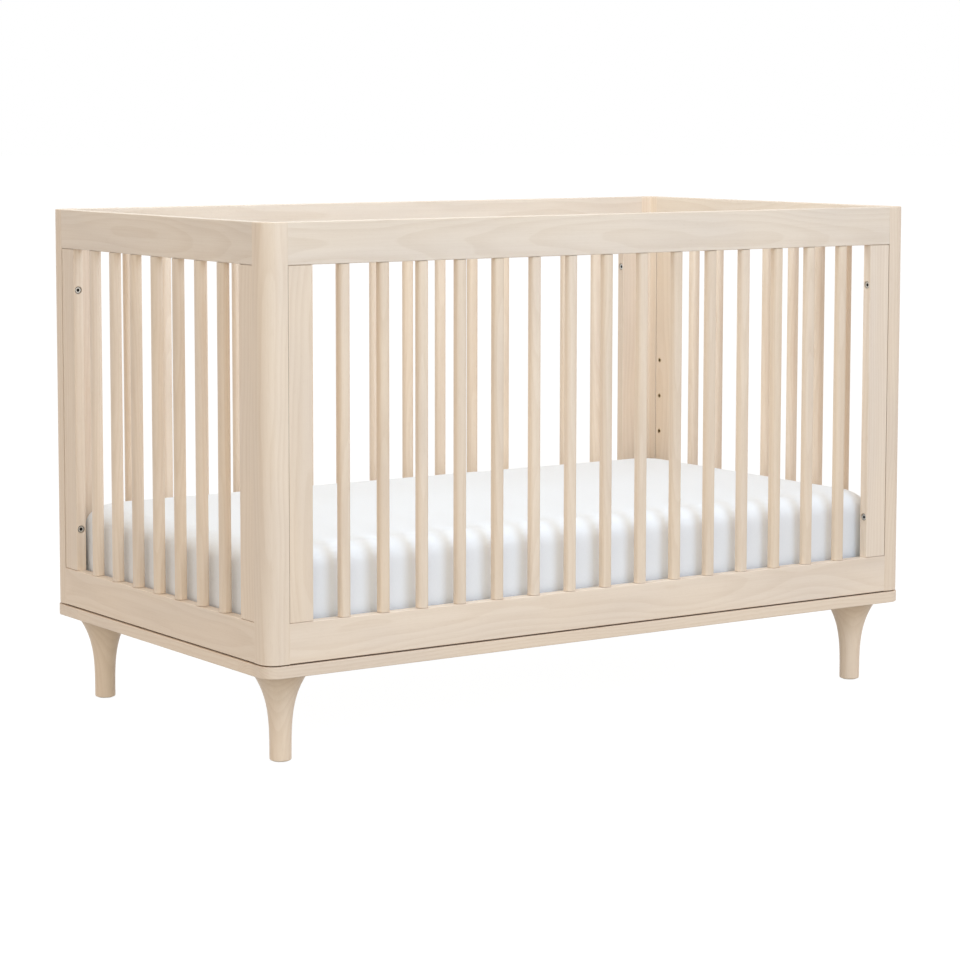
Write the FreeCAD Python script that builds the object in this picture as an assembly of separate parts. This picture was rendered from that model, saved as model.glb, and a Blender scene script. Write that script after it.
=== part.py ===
import FreeCAD, Part
import os
from FreeCAD import Vector

# Full-size baby crib with fixed sides, in millimetres.
# X runs along the long side, Y across it and Z up from the floor; the origin is under the middle.

# Driving dimensions of the whole crib
crib_length = 1365.0
crib_width = 760.0
crib_height = 884.0
leg_height = 150.5

# Corner posts: L-shaped in plan, with a large outer radius
post_width = 41.6
post_wall = 20.0
post_outer_radius = 25.0
post_inner_radius = 2.0

# Panels: rails, stiles and slats of the four sides
panel_thickness = 20.0
top_rail_height = 68.7
bottom_rail_height = 66.0
stile_width = 45.4
stile_thickness = 18.5
slat_width = 20.2
slat_thickness = 19.0
slat_edge_radius = 8.0
slat_end_gap = 0.6
tenon_width = 13.0
tenon_thickness = 9.0
tenon_radius = 4.0
tenon_length = 12.0
long_slat_count = 15
long_slat_pitch = 76.0
end_slat_count = 7
end_slat_pitch = 75.7
eased_edge = 1.5
seam_chamfer = 0.3
seam_groove_width = 0.9
seam_groove_depth = 3.0

# Base frame under the panels, with spacer strips that leave a shadow gap
base_thickness = 20.0
base_board_width = 94.0
base_overhang = 1.5
shadow_gap = 2.4
spacer_width = 12.0

# Turned legs
leg_inset_x = 63.5
leg_inset_y = 68.5
foot_radius = 18.2
leg_top_radius = 48.5
leg_flare_power = 3.6
foot_edge_radius = 2.5
glide_radius = 13.0
glide_thickness = 1.5
glide_nail_radius = 1.5
glide_nail_length = 14.0

# Panel connector bolts and their threaded inserts in the posts
bolt_radius = 3.0
bolt_head_radius = 5.9
bolt_head_thickness = 2.2
bolt_head_edge = 0.6
bolt_socket_size = 5.0
bolt_recess_radius = 6.9
bolt_recess_depth = 4.0
bolt_depth_in_post = 17.0
bolt_heights = (313.5, 742.0)
insert_radius = 5.0
insert_length = 19.0
dowel_radius = 4.0
dowel_length = 30.0
hole_clearance = 0.1

# Leg fixings and base screws
leg_bolt_radius = 4.0
leg_bolt_grip = 40.0
leg_bolt_engagement = 16.0
leg_insert_radius = 6.0
leg_insert_length = 18.0
screw_radius = 2.25
screw_head_radius = 4.5
screw_head_depth = 2.6
screw_length = 50.0
screw_row_inset = 100.0

# Mattress support: a sprung steel frame on four hanger brackets
support_top = 215.0
angle_leg = 25.0
angle_thickness = 2.0
support_half_length = 659.7
support_half_width = 345.0
wire_radius = 1.5
long_wire_count = 9
long_wire_pitch = 70.0
cross_wire_count = 11
cross_wire_pitch = 110.0
spring_radius = 5.5
spring_bore = 4.0
spring_length = 34.0
hanger_width = 22.0
hanger_thickness = 2.5
hanger_top = 347.0
hanger_top_radius = 9.5
hanger_inset = 12.4
rivet_radius = 2.5
rivet_head_radius = 4.5
rivet_head_thickness = 1.5
hanger_head_radius = 5.25
hanger_head_thickness = 3.3
hanger_head_edge = 2.0
hanger_socket_size = 4.0
hanger_socket_depth = 2.0
support_heights = 4
lowest_support_hole = 332.0
support_hole_pitch = 72.8
support_insert_radius = 4.5
support_insert_bore = 2.6
support_insert_length = 15.0

# Mattress and fitted sheet
mattress_length = 1310.0
mattress_width = 684.0
mattress_height = 136.0
mattress_corner_radius = 45.0
mattress_edge_radius = 20.0
sheet_thickness = 1.5
sheet_clearance = 0.3
sheet_turn_under = 70.0

# Levels and positions worked out from the dimensions above
half_length = crib_length / 2
half_width = crib_width / 2
panel_bottom = leg_height + base_thickness + shadow_gap
base_top = leg_height + base_thickness
lower_rail_top = panel_bottom + bottom_rail_height
upper_rail_bottom = crib_height - top_rail_height
post_seam_x = half_length - post_width
post_seam_y = half_width - post_width
leg_x = half_length - leg_inset_x
leg_y = half_width - leg_inset_y

X_AXIS = Vector(1, 0, 0)
Y_AXIS = Vector(0, 1, 0)
Z_AXIS = Vector(0, 0, 1)
ORIGIN = Vector(0, 0, 0)

parts = {}


# ---------------------------------------------------------------- shared helpers

def box(x_range, y_range, z_range):
    """A block between the given limits along X, Y and Z."""
    size = [high - low for low, high in (x_range, y_range, z_range)]
    return Part.makeBox(*size, Vector(x_range[0], y_range[0], z_range[0]))


def rod(start, direction, length, radius):
    """A cylinder from start along direction."""
    return Part.makeCylinder(radius, length, start, direction)


def tube(start, direction, length, radius, bore):
    """A hollow cylinder from start along direction."""
    return rod(start, direction, length, radius).cut(rod(start, direction, length, bore))


def straight_edges(shape, axis):
    """The straight edges of a shape that run along an axis."""
    found = []
    for edge in shape.Edges:
        ends = [vertex.Point for vertex in edge.Vertexes]
        if len(ends) == 2 and abs((ends[1] - ends[0]).normalize().dot(axis)) > 0.999:
            found.append(edge)
    return found


def rounded_bar(x_range, y_range, z_range, axis, radius):
    """A block with rounded edges along one axis."""
    bar = box(x_range, y_range, z_range)
    return bar.makeFillet(radius, straight_edges(bar, axis))


def cut_all(shape, tools):
    """The shape less every tool."""
    return shape.cut(Part.makeCompound(tools)) if tools else shape


def group(shapes):
    """Several separate solids as one shape."""
    return Part.makeCompound([solid for shape in shapes for solid in shape.Solids])


def hex_prism(start, direction, length, size):
    """A hexagonal prism, size across flats, for a bolt's socket."""
    corner = Vector(size / 3 ** 0.5, 0, 0)
    ring = [FreeCAD.Rotation(Z_AXIS, 60 * step).multVec(corner) for step in range(7)]
    prism = Part.Face(Part.makePolygon(ring)).extrude(Vector(0, 0, length))
    prism.Placement = FreeCAD.Placement(start, FreeCAD.Rotation(Z_AXIS, direction))
    return prism


def four_corners(shape):
    """A shape made for the +X +Y corner, and its mirror images, by corner name."""
    rear_right = shape
    rear_left = shape.mirror(ORIGIN, X_AXIS)
    front_right = shape.mirror(ORIGIN, Y_AXIS)
    front_left = front_right.mirror(ORIGIN, X_AXIS)
    return {"front_left": front_left, "front_right": front_right,
            "rear_left": rear_left, "rear_right": rear_right}


# ---------------------------------------------------------------- corner posts

def corner_post():
    """The +X +Y post, less the holes for dowels and inserts."""
    outer = box((post_seam_x, half_length), (post_seam_y, half_width), (panel_bottom, crib_height))
    inner_x = half_length - post_wall
    inner_y = half_width - post_wall
    notch = box((post_seam_x - 1, inner_x), (post_seam_y - 1, inner_y), (0, crib_height + 1))
    post = outer.cut(notch)
    for x, y, radius in ((half_length, half_width, post_outer_radius),
                         (inner_x, inner_y, post_inner_radius)):
        corner = [edge for edge in straight_edges(post, Z_AXIS)
                  if abs(edge.Vertexes[0].X - x) < 0.01 and abs(edge.Vertexes[0].Y - y) < 0.01]
        post = post.makeFillet(radius, corner)
    top_edges = [edge for edge in post.Edges
                 if edge.BoundBox.ZMin > crib_height - 0.01
                 and edge.BoundBox.XMax > post_seam_x + 0.01
                 and edge.BoundBox.YMax > post_seam_y + 0.01]
    return post.makeFillet(eased_edge, top_edges)


def post_holes():
    """Dowel and insert holes of the +X +Y post, from both panels."""
    wall_middle_x = half_length - panel_thickness / 2
    wall_middle_y = half_width - panel_thickness / 2
    holes = []
    for z in dowel_heights():
        reach = dowel_length / 2 + hole_clearance
        holes.append(rod(Vector(post_seam_x, wall_middle_y, z), X_AXIS, reach,
                         dowel_radius + hole_clearance))
        holes.append(rod(Vector(wall_middle_x, post_seam_y, z), Y_AXIS, reach,
                         dowel_radius + hole_clearance))
    for z in bolt_heights:
        reach = insert_length + hole_clearance
        holes.append(rod(Vector(post_seam_x, wall_middle_y, z), X_AXIS, reach,
                         insert_radius + hole_clearance))
        holes.append(rod(Vector(wall_middle_x, post_seam_y, z), Y_AXIS, reach,
                         insert_radius + hole_clearance))
    return holes


def dowel_heights():
    """Dowels join each rail's end to the post at the middle of the rail."""
    return (panel_bottom + bottom_rail_height / 2, crib_height - top_rail_height / 2)


# ---------------------------------------------------------------- panels
# A panel is made with its middle plane on Y = 0 and its outer face towards -Y, then turned
# into place.

def slat_places(count, pitch):
    """The slats' places along the panel, even about its middle."""
    return [(index - (count - 1) / 2) * pitch for index in range(count)]


def rail(half_span, z_range, slat_at, mortise_z):
    """A rail with fine chamfers at its ends, and the mortises and holes still to be cut from it."""
    half_thickness = panel_thickness / 2
    body = box((-half_span, half_span), (-half_thickness, half_thickness), z_range)
    body = body.makeFillet(eased_edge, straight_edges(body, X_AXIS))
    ends = [edge for edge in body.Edges if edge.BoundBox.XLength < 0.01]
    body = body.makeChamfer(seam_chamfer, ends)
    tools = [tenon(x, mortise_z) for x in slat_at]
    reach = dowel_length / 2 + hole_clearance
    for side in (-1, 1):
        start = Vector(side * half_span, 0, sum(z_range) / 2)
        tools.append(rod(start, X_AXIS * -side, reach, dowel_radius + hole_clearance))
    return body, tools


def tenon(x, z_range):
    """A slat's tenon, which is also the shape of its mortise."""
    return rounded_bar((x - tenon_width / 2, x + tenon_width / 2),
                       (-tenon_thickness / 2, tenon_thickness / 2), z_range, Z_AXIS, tenon_radius)


def slat(x):
    """A slat with rounded edges and a tenon at each end."""
    body = rounded_bar((x - slat_width / 2, x + slat_width / 2),
                       (-slat_thickness / 2, slat_thickness / 2),
                       (lower_rail_top + slat_end_gap, upper_rail_bottom - slat_end_gap),
                       Z_AXIS, slat_edge_radius)
    through = tenon(x, (lower_rail_top - tenon_length, upper_rail_bottom + tenon_length))
    return body.fuse(through).removeSplitter()


def seam_grooves(half_thickness, x_range, z_range):
    """Shallow grooves in both faces of a board, which show as a fine line along a joint."""
    grooves = []
    for side in (-1, 1):
        face = sorted((side * half_thickness, side * (half_thickness - seam_groove_depth)))
        grooves.append(box(x_range, face, z_range))
    return grooves


def stile(half_span):
    """The stile at the panel's +X end, with narrow grooves along its seams."""
    inner = half_span - stile_width
    half_thickness = stile_thickness / 2
    z_range = (lower_rail_top, upper_rail_bottom)
    body = box((inner, half_span), (-half_thickness, half_thickness), z_range)
    free_edges = [edge for edge in straight_edges(body, Z_AXIS)
                  if abs(edge.Vertexes[0].X - inner) < 0.01]
    body = body.makeFillet(eased_edge, free_edges)
    low, high = z_range
    tools = seam_grooves(half_thickness, (half_span - seam_groove_width, half_span), z_range)
    tools += seam_grooves(half_thickness, (inner, half_span), (low, low + seam_groove_width))
    tools += seam_grooves(half_thickness, (inner, half_span), (high - seam_groove_width, high))
    for z in bolt_heights:
        start = Vector(inner, 0, z)
        tools.append(rod(start, X_AXIS, stile_width, bolt_radius + hole_clearance))
        tools.append(rod(start, X_AXIS, bolt_recess_depth, bolt_recess_radius))
    return cut_all(body, tools)


def panel_bolts(half_span):
    """Connector bolts of the panel's +X end: a sunk round head with a hexagon socket."""
    seat = half_span - stile_width + bolt_recess_depth
    bolts = []
    for z in bolt_heights:
        shank_length = stile_width - bolt_recess_depth + bolt_depth_in_post
        shank = rod(Vector(seat, 0, z), X_AXIS, shank_length, bolt_radius)
        head_start = Vector(seat - bolt_head_thickness, 0, z)
        head = rod(head_start, X_AXIS, bolt_head_thickness, bolt_head_radius)
        rim = [edge for edge in head.Edges
               if edge.BoundBox.XLength < 0.01 and edge.BoundBox.XMax < seat - 0.01]
        head = head.makeFillet(bolt_head_edge, rim)
        socket = hex_prism(head_start, X_AXIS, bolt_head_thickness + 1, bolt_socket_size)
        bolts.append(head.fuse(shank).cut(socket).removeSplitter())
    return bolts


def post_inserts(half_span):
    """Threaded inserts in the post's edge, in line with the connector bolts."""
    return [tube(Vector(half_span, 0, z), X_AXIS, insert_length, insert_radius,
                 bolt_radius + hole_clearance) for z in bolt_heights]


def rail_dowels(half_span):
    """Wooden dowels between the rails' ends and the post, at the panel's +X end."""
    return [rod(Vector(half_span - dowel_length / 2, 0, z), X_AXIS, dowel_length, dowel_radius)
            for z in dowel_heights()]


def screw_places(half_span, count):
    """Base screws are spread evenly between the two legs."""
    reach = half_span - screw_row_inset
    return [reach * (2 * index / (count - 1) - 1) for index in range(count)]


def base_screw(x, y, grow=0.0):
    """A countersunk screw up through the base board, or its hole when grown."""
    start = Vector(x, y, leg_height)
    head = Part.makeCone(screw_head_radius + grow, screw_radius + grow, screw_head_depth,
                         start, Z_AXIS)
    shank = rod(start, Z_AXIS, screw_length + grow, screw_radius + grow)
    return head.fuse(shank).removeSplitter()


def place(shape, angle, distance):
    """Turns a panel piece about Z and moves it out to its side of the crib."""
    placed = shape.copy()
    placed.rotate(ORIGIN, Z_AXIS, angle)
    outward = FreeCAD.Rotation(Z_AXIS, angle).multVec(Vector(0, -distance, 0))
    placed.translate(outward)
    return placed


def make_panel(name, angle, half_span, distance, slat_at, screw_count, end_names):
    """Adds one side of the crib to the parts, and returns its hardware."""
    screws = [base_screw(x, 0) for x in screw_places(half_span, screw_count)]
    screw_holes = [base_screw(x, 0, hole_clearance) for x in screw_places(half_span, screw_count)]
    lower_tenons = (lower_rail_top - tenon_length, lower_rail_top)
    upper_tenons = (upper_rail_bottom, upper_rail_bottom + tenon_length)
    lower, lower_tools = rail(half_span, (panel_bottom, lower_rail_top), slat_at, lower_tenons)
    upper, upper_tools = rail(half_span, (upper_rail_bottom, crib_height), slat_at, upper_tenons)
    spacer = box((-half_span, half_span), (-spacer_width / 2, spacer_width / 2),
                 (base_top, panel_bottom))
    plus_stile = stile(half_span)
    minus_stile = plus_stile.mirror(ORIGIN, X_AXIS)

    def put(shape):
        return place(shape, angle, distance)

    parts[f"{name}_bottom_rail"] = put(cut_all(lower, lower_tools + screw_holes))
    parts[f"{name}_top_rail"] = put(cut_all(upper, upper_tools))
    parts[f"{name}_slats"] = put(group([slat(x) for x in slat_at]))
    for end_name, shape in zip(end_names, (minus_stile, plus_stile)):
        parts[f"{name}_{end_name}_stile"] = put(shape)
    hardware = {"bolts": panel_bolts(half_span), "inserts": post_inserts(half_span),
                "dowels": rail_dowels(half_span)}
    placed = {}
    for kind, shapes in hardware.items():
        both_ends = shapes + [shape.mirror(ORIGIN, X_AXIS) for shape in shapes]
        placed[kind] = [put(shape) for shape in both_ends]
    placed["screws"] = [put(shape) for shape in screws]
    placed["screw_holes"] = [put(shape) for shape in screw_holes]
    placed["spacer"] = [put(cut_all(spacer, screw_holes))]
    return placed


# ---------------------------------------------------------------- base frame and legs

def base_boards(screw_holes, insert_holes):
    """Two long boards with round outer corners, and two end boards between them."""
    outer_x = half_length + base_overhang
    outer_y = half_width + base_overhang
    inner_y = outer_y - base_board_width
    z_range = (leg_height, base_top)
    corner_radius = post_outer_radius + base_overhang
    rear = box((-outer_x, outer_x), (inner_y, outer_y), z_range)
    corners = [edge for edge in straight_edges(rear, Z_AXIS)
               if edge.Vertexes[0].Y > outer_y - 0.01]
    rear = rear.makeFillet(corner_radius, corners)
    rim = [edge for edge in rear.Edges
           if edge.BoundBox.ZLength < 0.01 and edge.BoundBox.YMax > inner_y + 0.01]
    rear = rear.makeFillet(eased_edge, rim)
    right = box((outer_x - base_board_width, outer_x), (-inner_y, inner_y), z_range)
    rim = [edge for edge in straight_edges(right, Y_AXIS)
           if edge.Vertexes[0].X > outer_x - 0.01]
    right = right.makeFillet(eased_edge, rim)
    boards = {"rear": rear, "front": rear.mirror(ORIGIN, Y_AXIS),
              "right": right, "left": right.mirror(ORIGIN, X_AXIS)}
    for name, board in boards.items():
        parts[f"{name}_base_board"] = cut_all(board, screw_holes + insert_holes)


def leg_radius(z):
    """The leg's radius: nearly straight at the foot, flaring out like a trumpet at the top."""
    share = (z - glide_thickness) / (leg_height - glide_thickness)
    return foot_radius + (leg_top_radius - foot_radius) * share ** leg_flare_power


def turned_leg():
    """The +X +Y leg, less the holes for its glide and bolt."""
    bottom = glide_thickness
    shoulder = bottom + foot_edge_radius
    steps = 8
    heights = [shoulder + (leg_height - shoulder) * step / steps for step in range(steps + 1)]
    side_points = [Vector(leg_radius(z), 0, z) for z in heights]
    flare = Part.BSplineCurve()
    flare.interpolate(side_points)
    inset = foot_edge_radius * (1 - 0.5 ** 0.5)
    foot_edge = Part.Arc(Vector(side_points[0].x - foot_edge_radius, 0, bottom),
                         Vector(side_points[0].x - inset, 0, bottom + inset),
                         side_points[0])
    outline = Part.Wire([
        Part.makeLine(Vector(0, 0, bottom), Vector(side_points[0].x - foot_edge_radius, 0, bottom)),
        foot_edge.toShape(),
        flare.toShape(),
        Part.makeLine(side_points[-1], Vector(0, 0, leg_height)),
        Part.makeLine(Vector(0, 0, leg_height), Vector(0, 0, bottom)),
    ])
    leg = Part.Face(outline).revolve(ORIGIN, Z_AXIS, 360)
    nail_hole = rod(Vector(0, 0, 0), Z_AXIS, glide_thickness + glide_nail_length + hole_clearance,
                    glide_nail_radius + hole_clearance)
    bolt_hole = rod(Vector(0, 0, leg_height - leg_bolt_grip - hole_clearance), Z_AXIS,
                    leg_bolt_grip + 1, leg_bolt_radius + hole_clearance)
    leg = cut_all(leg, [nail_hole, bolt_hole])
    leg.translate(Vector(leg_x, leg_y, 0))
    return leg


def foot_glide():
    """A nail-on plastic glide under the +X +Y leg."""
    disc = rod(Vector(leg_x, leg_y, 0), Z_AXIS, glide_thickness, glide_radius)
    nail = rod(Vector(leg_x, leg_y, 0), Z_AXIS, glide_thickness + glide_nail_length,
               glide_nail_radius)
    return disc.fuse(nail).removeSplitter()


# ---------------------------------------------------------------- mattress support

def angle_bar(along, half_run, half_flat_run, outer):
    """A steel angle on the + side: a flat flange on top and an upright flange below its edge."""
    top = (support_top - angle_thickness, support_top)
    upright = (support_top - angle_leg, support_top - angle_thickness)
    flat_across = (outer - angle_leg, outer)
    upright_across = (outer - angle_thickness, outer)
    if along == "x":
        pieces = [box((-half_flat_run, half_flat_run), flat_across, top),
                  box((-half_run, half_run), upright_across, upright)]
    else:
        pieces = [box(flat_across, (-half_flat_run, half_flat_run), top),
                  box(upright_across, (-half_run, half_run), upright)]
    return pieces[0].fuse(pieces[1]).removeSplitter()


def support_frame():
    """The four angle bars, butted at the corners."""
    end_inner = support_half_length - angle_leg
    upright_inner = support_half_length - angle_thickness
    rear = angle_bar("x", upright_inner, end_inner, support_half_width)
    right = angle_bar("y", support_half_width, support_half_width, support_half_length)
    parts["support_rear_rail"] = rear
    parts["support_front_rail"] = rear.mirror(ORIGIN, Y_AXIS)
    parts["support_right_rail"] = right
    parts["support_left_rail"] = right.mirror(ORIGIN, X_AXIS)


def support_wires():
    """Long and cross wires, stretched by a coil spring at each end."""
    long_z = support_top - angle_thickness - wire_radius
    cross_z = long_z - 2 * wire_radius
    spring_end_x = support_half_length - angle_leg
    spring_end_y = support_half_width - angle_leg
    long_reach = spring_end_x - spring_length
    cross_reach = spring_end_y - spring_length
    long_wires, cross_wires, springs = [], [], []
    for index in range(long_wire_count):
        y = (index - (long_wire_count - 1) / 2) * long_wire_pitch
        long_wires.append(rod(Vector(-long_reach, y, long_z), X_AXIS, 2 * long_reach, wire_radius))
        for side in (-1, 1):
            start = Vector(side * long_reach, y, long_z - spring_radius + wire_radius)
            springs.append(tube(start, X_AXIS * side, spring_length, spring_radius, spring_bore))
    for index in range(cross_wire_count):
        x = (index - (cross_wire_count - 1) / 2) * cross_wire_pitch
        cross_wires.append(rod(Vector(x, -cross_reach, cross_z), Y_AXIS, 2 * cross_reach,
                               wire_radius))
        for side in (-1, 1):
            start = Vector(x, side * cross_reach, long_z - spring_radius + wire_radius)
            springs.append(tube(start, Y_AXIS * side, spring_length, spring_radius, spring_bore))
    parts["support_long_wires"] = group(long_wires)
    parts["support_cross_wires"] = group(cross_wires)
    parts["support_springs"] = group(springs)


def hanger_y():
    """The line of support holes, a little inside the seam between post and end stile."""
    return post_seam_y - hanger_inset


def hanger():
    """The +X +Y hanger: a flat strap that runs down from its bolt to the frame."""
    x_range = (support_half_length, support_half_length + hanger_thickness)
    y_range = (hanger_y() - hanger_width / 2, hanger_y() + hanger_width / 2)
    strap = box(x_range, y_range, (support_top - angle_leg, hanger_top))
    top_corners = [edge for edge in straight_edges(strap, X_AXIS)
                   if edge.Vertexes[0].Z > hanger_top - 0.01]
    strap = strap.makeFillet(hanger_top_radius, top_corners)
    hole = rod(Vector(x_range[0], hanger_y(), lowest_support_hole), X_AXIS, hanger_thickness,
               bolt_radius + hole_clearance)
    return cut_all(strap, [hole] + hanger_rivets(hole_clearance))


def hanger_rivets(grow=0.0):
    """Two rivets that hold the +X +Y hanger to the end rail, or their holes when grown."""
    rivets = []
    for offset in (-hanger_width / 4, hanger_width / 4):
        start = Vector(support_half_length - angle_thickness - rivet_head_thickness,
                       hanger_y() + offset, support_top - angle_leg / 2)
        length = rivet_head_thickness + angle_thickness + hanger_thickness
        shank = rod(start, X_AXIS, length, rivet_radius + grow)
        head = rod(start, X_AXIS, rivet_head_thickness, rivet_head_radius)
        rivets.append(shank if grow else head.fuse(shank).removeSplitter())
    return rivets


def hanger_bolt():
    """The button-head bolt of the +X +Y hanger; its shank ends at the stile's face."""
    head_start = Vector(support_half_length - hanger_head_thickness, hanger_y(),
                        lowest_support_hole)
    head = rod(head_start, X_AXIS, hanger_head_thickness, hanger_head_radius)
    rim = [edge for edge in head.Edges
           if edge.BoundBox.XLength < 0.01 and edge.BoundBox.XMax < head_start.x + 0.01]
    head = head.makeFillet(hanger_head_edge, rim)
    socket = hex_prism(head_start, X_AXIS, hanger_socket_depth, hanger_socket_size)
    shank_length = half_length - panel_thickness - support_half_length
    shank = rod(Vector(support_half_length, hanger_y(), lowest_support_hole), X_AXIS,
                shank_length, bolt_radius)
    return head.fuse(shank).cut(socket).removeSplitter()


def support_inserts(grow=0.0):
    """The column of threaded inserts in the +X end panel's rear stile, or their holes."""
    face = half_length - (panel_thickness - stile_thickness) / 2 - stile_thickness
    column = []
    for index in range(support_heights):
        start = Vector(face, hanger_y(), lowest_support_hole + index * support_hole_pitch)
        if grow:
            column.append(rod(start, X_AXIS, support_insert_length + grow,
                              support_insert_radius + grow))
        else:
            column.append(tube(start, X_AXIS, support_insert_length, support_insert_radius,
                               support_insert_bore))
    return column


# ---------------------------------------------------------------- mattress and sheet

def cushion_block(grow, bottom, top):
    """A block with round corners and soft edges, grown evenly on its sides."""
    half_x = mattress_length / 2 + grow
    half_y = mattress_width / 2 + grow
    block = box((-half_x, half_x), (-half_y, half_y), (bottom, top))
    block = block.makeFillet(mattress_corner_radius + grow, straight_edges(block, Z_AXIS))
    rims = [edge for edge in block.Edges if edge.BoundBox.ZLength < 0.01]
    return block.makeFillet(mattress_edge_radius + grow, rims)


def mattress_and_sheet():
    """The mattress, and the sheet drawn over it and turned under its edge."""
    skin = sheet_thickness + sheet_clearance
    bottom = support_top + skin
    top = bottom + mattress_height
    parts["mattress"] = cushion_block(0, bottom, top)
    outside = cushion_block(skin, bottom - skin, top + skin)
    inside = cushion_block(sheet_clearance, bottom - sheet_clearance, top + sheet_clearance)
    half_x = mattress_length / 2 - sheet_turn_under
    half_y = mattress_width / 2 - sheet_turn_under
    opening = rounded_bar((-half_x, half_x), (-half_y, half_y), (bottom - skin, bottom),
                          Z_AXIS, mattress_corner_radius)
    parts["fitted_sheet"] = outside.cut(inside).cut(opening)


# ---------------------------------------------------------------- the whole crib

def build():
    """Makes every part of the crib."""
    for name, shape in four_corners(cut_all(corner_post(), post_holes())).items():
        parts[f"{name}_post"] = shape

    long_distance = half_width - panel_thickness / 2
    end_distance = half_length - panel_thickness / 2
    long_slats = slat_places(long_slat_count, long_slat_pitch)
    end_slats = slat_places(end_slat_count, end_slat_pitch)
    long_sides = [
        make_panel("front", 0, post_seam_x, long_distance, long_slats, 5, ("left", "right")),
        make_panel("rear", 180, post_seam_x, long_distance, long_slats, 5, ("right", "left")),
    ]
    end_sides = [
        make_panel("left", -90, post_seam_y, end_distance, end_slats, 3, ("rear", "front")),
        make_panel("right", 90, post_seam_y, end_distance, end_slats, 3, ("front", "rear")),
    ]
    for kind, sides in (("long", long_sides), ("end", end_sides)):
        parts[f"{kind}_panel_bolts"] = group([bolt for side in sides for bolt in side["bolts"]])
        parts[f"{kind}_post_inserts"] = group([part for side in sides for part in side["inserts"]])
        parts[f"{kind}_rail_dowels"] = group([dowel for side in sides for dowel in side["dowels"]])
    every_side = long_sides + end_sides
    parts["base_screws"] = group([screw for side in every_side for screw in side["screws"]])
    parts["base_spacer_strips"] = group([strip for side in every_side for strip in side["spacer"]])

    leg_insert = tube(Vector(leg_x, leg_y, leg_height), Z_AXIS, leg_insert_length,
                      leg_insert_radius, leg_bolt_radius + hole_clearance)
    insert_hole = rod(Vector(leg_x, leg_y, leg_height), Z_AXIS,
                      leg_insert_length + hole_clearance, leg_insert_radius + hole_clearance)
    leg_bolt = rod(Vector(leg_x, leg_y, leg_height - leg_bolt_grip), Z_AXIS,
                   leg_bolt_grip + leg_bolt_engagement, leg_bolt_radius)
    base_boards([hole for side in every_side for hole in side["screw_holes"]],
                list(four_corners(insert_hole).values()))
    for name, shape in four_corners(turned_leg()).items():
        parts[f"{name}_leg"] = shape
    parts["leg_inserts"] = group(four_corners(leg_insert).values())
    parts["leg_bolts"] = group(four_corners(leg_bolt).values())
    parts["foot_glides"] = group(four_corners(foot_glide()).values())

    insert_columns = four_corners(group(support_inserts()))
    insert_holes = four_corners(group(support_inserts(hole_clearance)))
    parts["support_inserts"] = group(insert_columns.values())
    for corner, holes in insert_holes.items():
        depth_name, side_name = corner.split("_")
        stile_name = f"{side_name}_{depth_name}_stile"
        parts[stile_name] = parts[stile_name].cut(holes)

    support_frame()
    support_wires()
    rivet_holes = Part.makeCompound(
        [hole for holes in four_corners(group(hanger_rivets(hole_clearance))).values()
         for hole in holes.Solids])
    for side_name in ("left", "right"):
        rail_name = f"support_{side_name}_rail"
        parts[rail_name] = parts[rail_name].cut(rivet_holes)
    for name, shape in four_corners(hanger()).items():
        parts[f"{name}_hanger"] = shape
    parts["hanger_rivets"] = group(four_corners(group(hanger_rivets())).values())
    parts["hanger_bolts"] = group(four_corners(hanger_bolt()).values())

    mattress_and_sheet()


def export():
    """Writes one STEP file per part."""
    os.makedirs("parts", exist_ok=True)
    for old in os.listdir("parts"):
        os.remove(os.path.join("parts", old))
    for name, shape in parts.items():
        solids = shape.Solids
        whole = solids[0] if len(solids) == 1 else Part.makeCompound(solids)
        print(f"{name}: {len(solids)} solid(s), {whole.Volume / 1000:.1f} cm3, valid {whole.isValid()}")
        whole.exportStep(f"parts/{name}.step")


build()
export()
print(len(parts), "parts")
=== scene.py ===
import math
import random

import bmesh
import bpy
import numpy as np
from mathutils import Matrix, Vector, noise


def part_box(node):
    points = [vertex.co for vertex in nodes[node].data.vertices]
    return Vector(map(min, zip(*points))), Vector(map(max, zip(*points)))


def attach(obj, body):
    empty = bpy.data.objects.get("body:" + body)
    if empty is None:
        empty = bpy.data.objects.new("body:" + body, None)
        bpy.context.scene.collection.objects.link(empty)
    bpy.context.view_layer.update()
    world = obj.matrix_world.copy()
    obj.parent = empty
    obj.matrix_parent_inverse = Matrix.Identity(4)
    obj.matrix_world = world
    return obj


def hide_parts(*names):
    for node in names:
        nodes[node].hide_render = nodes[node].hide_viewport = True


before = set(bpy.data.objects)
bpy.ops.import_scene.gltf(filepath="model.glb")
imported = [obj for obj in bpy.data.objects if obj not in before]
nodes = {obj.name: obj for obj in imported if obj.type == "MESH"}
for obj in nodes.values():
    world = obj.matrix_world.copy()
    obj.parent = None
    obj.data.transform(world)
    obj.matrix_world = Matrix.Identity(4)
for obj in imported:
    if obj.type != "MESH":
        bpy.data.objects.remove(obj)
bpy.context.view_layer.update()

MM = 0.001
X, Y, Z = range(3)
QUARTER_TURN = math.pi / 2
LONG_SIDES, END_SIDES = ("front", "rear"), ("left", "right")

# ---------------------------------------------------------------- colours, linear

WOOD_LIGHT = (0.856, 0.719, 0.583)
WOOD_DARK = (0.706, 0.551, 0.407)
WASH_GREY = (0.90, 0.90, 0.92)
WASH_WARM = (1.00, 0.985, 0.96)
WASH_SHARE = 0.55
COTTON = (0.860, 0.868, 0.880)
TICKING = (0.80, 0.79, 0.76)
TICKING_STRIPE = (0.42, 0.50, 0.58)
ZINC = (0.62, 0.62, 0.61)
NICKEL = (0.70, 0.68, 0.62)
# painted shade for the bolts' sockets and a painted shadow round their heads
BOLT_PAINTED_SHADE = (0.050, 0.045, 0.040)
BRASS = (0.62, 0.52, 0.34)
POWDER = (0.55, 0.56, 0.57)
NYLON = (0.72, 0.71, 0.68)

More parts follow.
